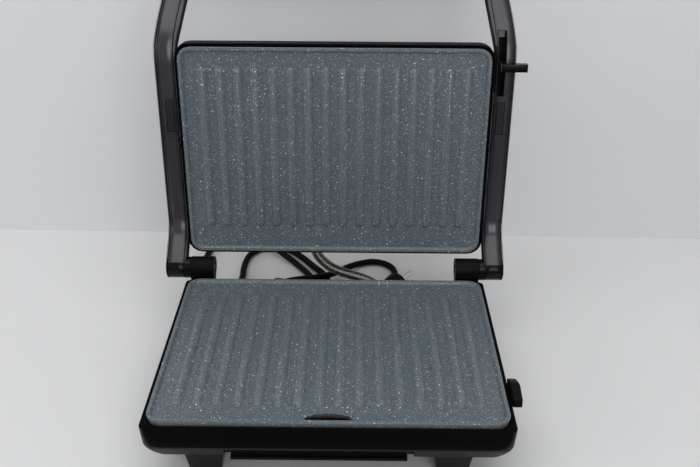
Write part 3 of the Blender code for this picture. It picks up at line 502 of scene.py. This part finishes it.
def lead_conduit():
    """Close-wound spring sleeve from the back wall up to the lid."""
    x, y, z = LEAD_BASE
    route = [(x, y + 0.0008, z), (x - 0.0006, 0.0225, -0.0232), (0.0375, 0.0285, -0.0213),
             (0.0270, 0.0325, -0.0187), (0.0160, 0.0365, -0.0172), (0.0040, 0.0405, -0.0153),
             (-0.0065, 0.0445, -0.0118), (-0.0145, 0.0475, -0.0058),
             (LEAD_LID_X + 0.0008, LEAD_END_Y - 0.0008, 0.0012), (LEAD_LID_X, LEAD_END_Y, 0.0072)]
    points = smooth_route(route, 0.0004)
    pitch, wire = 0.0018, 0.0005

    def coil(travelled, turn):
        phase = (travelled / pitch - turn / (2 * pi)) % 1.0
        return LEAD_RADIUS - 0.00005 - wire * (1.0 - sin(pi * phase) ** 0.5)

    bm = bmesh.new()
    sweep(bm, points, coil, 28)
    for face in bm.faces:
        face.smooth = True
    data = bpy.data.meshes.new("lead_conduit_fine")
    bm.to_mesh(data)
    bm.free()
    data.materials.append(finishes["spring_steel"])
    piece = bpy.data.objects.new("lead_conduit_fine", data)
    bpy.context.scene.collection.objects.link(piece)
    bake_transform(piece)
    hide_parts("lead_conduit")


# ---------------------------------------------------------------- arms
def hinge_frame():
    """Closed-lid frame about the main hinge, turned to the open lid."""
    return (Matrix.Translation(ORIGIN + Vector((0.0, HINGE_Y, HINGE_Z)))
            @ Matrix.Rotation(-LID_OPEN, 4, "X"))


def from_lid(up, back):
    return Vector((-(LID_REACH + up), LID_RISE + back))


def arc_path(points, radii, step):
    """The polyline with its corners rounded, as 2-D points."""
    path = [points[0]]
    for before, corner, after, radius in zip(points, points[1:], points[2:], radii):
        into = (corner - before).normalized()
        out = (after - corner).normalized()
        turn = into.angle_signed(out)
        reach = radius * abs(sin(turn / 2) / cos(turn / 2))
        start = corner - into * reach
        normal = Vector((-into.y, into.x)) * (-1 if turn > 0 else 1)
        centre = start + normal * radius
        count = max(2, round(abs(turn) / step))
        for i in range(count + 1):
            swing = -turn * i / count
            arm = start - centre
            path.append(centre + Vector((arm.x * cos(swing) - arm.y * sin(swing),
                                         arm.x * sin(swing) + arm.y * cos(swing))))
    return path + [points[-1]]


def arm_stations():
    """(centre, across, half depth) down an arm, with its ends rounded off."""
    line = arc_path([from_lid(-LID_REACH, -LID_RISE), from_lid(ARM_ELBOW_UP, TILT_BACK),
                     from_lid(ARM_BEND_UP, TILT_BACK), from_lid(HANDLE_UP, HANDLE_BACK)],
                    [0.040, 0.050], radians(2.5))
    stations = []
    for i, point in enumerate(line):
        along = (line[min(i + 1, len(line) - 1)] - line[max(i - 1, 0)]).normalized()
        stations.append((point, Vector((-along.y, along.x)), ARM_HALF_DEPTH))
    for place, outward in ((0, line[0] - line[1]), (-1, line[-1] - line[-2])):
        centre, across, _ = stations[place]
        outward = outward.normalized() * ARM_HALF_DEPTH
        cap = [(centre + outward * sin(turn), across, ARM_HALF_DEPTH * cos(turn))
               for turn in [radians(t) for t in (12, 24, 36, 47, 57, 66, 74, 80)]]
        stations = cap[::-1] + stations if place == 0 else stations + cap
    return stations


def band_section(x0, x1, corner, crown):
    """Section of an arm as (x, share of the half depth, shift in depth), from the inner side round."""
    ring = []
    width = abs(x1 - x0)
    way = 1 if x1 > x0 else -1
    for side in (1, -1):
        depth = []
        for turn in (90, 68, 45, 22, 0):
            depth.append((corner * (1 - cos(radians(90 - turn))), corner * (1 - sin(radians(90 - turn)))))
        flat = [(corner + (width - 2 * corner) * i / 6, 0.0) for i in range(1, 6)]
        half = [(a, b) for b, a in depth] + flat + [(width - a, b) for b, a in depth[::-1]]
        if side == 1:
            half = [(x, drop + crown * (2 * x / width - 1) ** 2) for x, drop in half]
        else:
            half = half[::-1]
        ring += [(x0 + way * x, side, -side * drop) for x, drop in half]
    return ring


def arm_band(x0, x1, corner, crown):
    """Mesh of a band with the arm's side view between x0 and x1."""
    bm = bmesh.new()
    place = hinge_frame()
    sign = 1 if x0 > 0 else -1
    section = band_section(x0, x1, corner, crown)
    rings = []
    for centre, across, half in arm_stations():
        past = max(0.0, -centre.x - LID_REACH - ARM_NARROW_FROM)
        lean = ARM_NARROW_BY * past / (HANDLE_UP - ARM_NARROW_FROM)
        tight = half / ARM_HALF_DEPTH
        ring = []
        for x, side, shift in section:
            at = centre + across * (side * half + shift * tight)
            ring.append(bm.verts.new(place @ Vector((x - sign * lean, at.x, at.y))))
        rings.append(ring)
    count = len(section)
    for a, b in zip(rings, rings[1:]):
        for j in range(count):
            bm.faces.new((a[j], a[(j + 1) % count], b[(j + 1) % count], b[j]))
    bm.faces.new(rings[0][::-1])
    bm.faces.new(rings[-1])
    bmesh.ops.recalc_face_normals(bm, faces=bm.faces)
    return bm


def cut_box(piece, low, high):
    """Cuts a box given in the hinge's closed frame out of a piece."""
    bm = bmesh.new()
    bmesh.ops.create_cube(bm, size=1.0)
    low, high = Vector(low), Vector(high)
    for vert in bm.verts:
        vert.co = hinge_frame() @ ((low + high) / 2 + vert.co * (high - low))
    data = bpy.data.meshes.new("cutter")
    bm.to_mesh(data)
    bm.free()
    tool = bpy.data.objects.new("cutter", data)
    bpy.context.scene.collection.objects.link(tool)
    modifier = piece.modifiers.new("cut", "BOOLEAN")
    modifier.operation = "DIFFERENCE"
    modifier.solver = "MANIFOLD"
    modifier.object = tool
    bpy.context.view_layer.update()
    shape = bpy.data.meshes.new_from_object(piece.evaluated_get(bpy.context.evaluated_depsgraph_get()))
    piece.modifiers.remove(modifier)
    inside = hinge_frame().inverted()
    for face in shape.polygons:
        spot = inside @ face.center
        if all(a - 0.00001 <= c <= b + 0.00001 for a, c, b in zip(low, spot, high)):
            face.material_index = 1
    piece.data = shape
    bpy.data.objects.remove(tool, do_unlink=True)


def make_arms():
    """Painted outer arms with a black inner side and hub, and black inside the slot and pocket."""
    hub = ORIGIN + Vector((0.0, HINGE_Y, HINGE_Z))
    for side, sign in (("left", -1), ("right", 1)):
        bm = arm_band(sign * ARM_IN, sign * ARM_OUT, 0.0016, 0.0003)
        for face in bm.faces:
            spot = face.calc_center_median()
            inner = sign * face.normal.x < -0.6
            near_hub = (spot - hub).yz.length < HUB_RADIUS
            face.material_index = 1 if inner or near_hub else 0
        piece = finish_piece(f"arm_{side}_fine", bm, "dark_satin", "arms", replaced=(f"arm_{side}",))
        piece.data.materials.append(finishes["gloss_black"])
        near, underside = from_lid(COVER_START_UP, TILT_BACK - ARM_HALF_DEPTH)
        far = from_lid(COVER_END_UP, 0.0)[0]
        x0, x1 = sorted((sign * COVER_IN, sign * COVER_OUT))
        cut_box(piece, (x0 - GAP, far - GAP, underside - COVER_DEPTH),
                (x1 + GAP, near + GAP, underside + COVER_DEPTH))
        if side == "right":
            near_y, bottom = from_lid(SLOT_START_UP, 0.0)
            far_y, top = from_lid(SLOT_END_UP, SLOT_BACK)
            cut_box(piece, (SLOT_IN, far_y, bottom), (SLOT_OUT, near_y, top))


# ---------------------------------------------------------------- the press
def refine_all():
    """Every remaining part keeps its CAD outline and gets its finish; all but the heaters, thermostats and
    fuse also get rounded edges.
    """
    slots = {part["node"]: part["material_slot"] for part in frame["record"]["subparts"]}
    bodies = frame["record"]["behaviour"]["bodies"]
    body_of = {node: body for body, members in bodies.items() for node in members}
    bevels = {
        "base_housing": 0.0006, "lid_frame": 0.0004, "lid_cover": 0.0004, "drip_tray": 0.0005,
        "stop_slider": 0.0003, "stop_catch": 0.0002, "hinge_bracket_left": 0.0006,
        "hinge_bracket_right": 0.0006, "hinge_washer_left": 0.0006, "hinge_washer_right": 0.0006,
        "hinge_cap_left": 0.0003, "hinge_cap_right": 0.0003, "lower_plate": 0.0003,
        "upper_plate": 0.0003, "bottom_cover": 0.0006, "handle_grip": 0.0006,
    }
    finish_of = {
        "upper_plate": "stone_upper",
        "base_housing": "housing_black", "arm_screw_cover_left": "cover_satin",
        "arm_screw_cover_right": "cover_satin", "lid_frame": "frame_black",
        "arm_trim_left": "trim_steel", "arm_trim_right": "trim_steel", "slider_spring": "heater_sheath",
        "stop_slider": "gloss_black",
    }
    custom = ("power_cord", "plug_body", "plug_pin_1", "plug_pin_2", "lead_conduit", "arm_left", "arm_right")
    kept = ("lower_heater", "upper_heater", "lower_thermostat", "upper_thermostat", "thermal_fuse")
    for node, slot in slots.items():
        if node in custom:
            continue
        if node in kept:
            target = frame["nodes"][node]
            target.data.materials.clear()
            target.data.materials.append(finishes[slot])
            continue
        bevel = bevels.get(node, 0.0010 if node.startswith("leg_") else 0.0003)
        refined(node, slot, body_of[node], bevel, finish_of.get(node))


# ---------------------------------------------------------------- stage
def make_stage():
    """Pale worktop, a wall close behind it, and soft light from above, the front and the left."""
    top = Finish("worktop", Base_Color=(0.81, 0.806, 0.80, 1), Roughness=0.62)
    top.feed("Roughness", top.spread(top.noise(30.0, 4.0), 0.3, 0.7, 0.58, 0.66))
    wall = Finish("backdrop", Base_Color=(0.77, 0.777, 0.795, 1), Roughness=0.8)
    top.one_sided()
    wall.one_sided()
    for name, finish, corners in (
            ("floor", top, ((-2.5, -2.5, 0), (2.5, -2.5, 0), (2.5, 2.5, 0), (-2.5, 2.5, 0))),
            ("wall", wall, ((-2.5, 0.272, -0.01), (2.5, 0.222, -0.01), (2.5, 0.222, 1.6),
                            (-2.5, 0.272, 1.6)))):
        data = bpy.data.meshes.new(name)
        data.from_pydata([Vector(c) for c in corners], [], [(0, 1, 2, 3)])
        data.materials.append(finish.material)
        plane = bpy.data.objects.new(name, data)
        bpy.context.scene.collection.objects.link(plane)
    # A dark card in front that only reflections see, so that black plastic stays black.
    flag = bpy.data.objects.new("flag", bpy.data.meshes.new("flag"))
    flag.data.from_pydata([Vector(c) for c in ((-1.5, -1.5, 0.001), (1.5, -1.5, 0.001), (1.5, -0.23, 0.001),
                                               (-1.5, -0.23, 0.001))], [], [(0, 1, 2, 3)])
    flag.data.materials.append(Finish("flag", Base_Color=(0.01, 0.01, 0.01, 1), Roughness=0.9).material)
    flag.visible_camera = flag.visible_diffuse = flag.visible_shadow = flag.visible_transmission = False
    bpy.context.scene.collection.objects.link(flag)
    lights = (("overhead", (-0.05, -0.22, 1.28), (0.0, 0.0, 0.1), 1.8, 0.9, 7.0),
              ("front", (0.4, -1.7, 0.9), (0.0, 0.0, 0.15), 1.2, 1.0, 9.5),
              ("side", (-1.7, -0.5, 0.75), (0.0, 0.0, 0.12), 0.8, 0.6, 4.6))
    for name, place, target, width, depth, power in lights:
        data = bpy.data.lights.new(name, "AREA")
        data.shape = "RECTANGLE"
        data.size = width
        data.size_y = depth
        data.energy = power
        lamp = bpy.data.objects.new(name, data)
        lamp.location = place
        lamp.rotation_euler = (Vector(target) - Vector(place)).to_track_quat("-Z", "Y").to_euler()
        bpy.context.scene.collection.objects.link(lamp)
    world = bpy.data.worlds.new("studio")
    world.use_nodes = True
    sky = world.node_tree.nodes["Background"]
    sky.inputs["Color"].default_value = (0.93, 0.96, 1.0, 1)
    sky.inputs["Strength"].default_value = 0.31
    bpy.context.scene.world = world
    bpy.context.scene.view_settings.view_transform = "Standard"


finishes = make_finishes()
make_camera()
power_cord(power_plug())
lead_conduit()
make_arms()
refine_all()
make_stage()
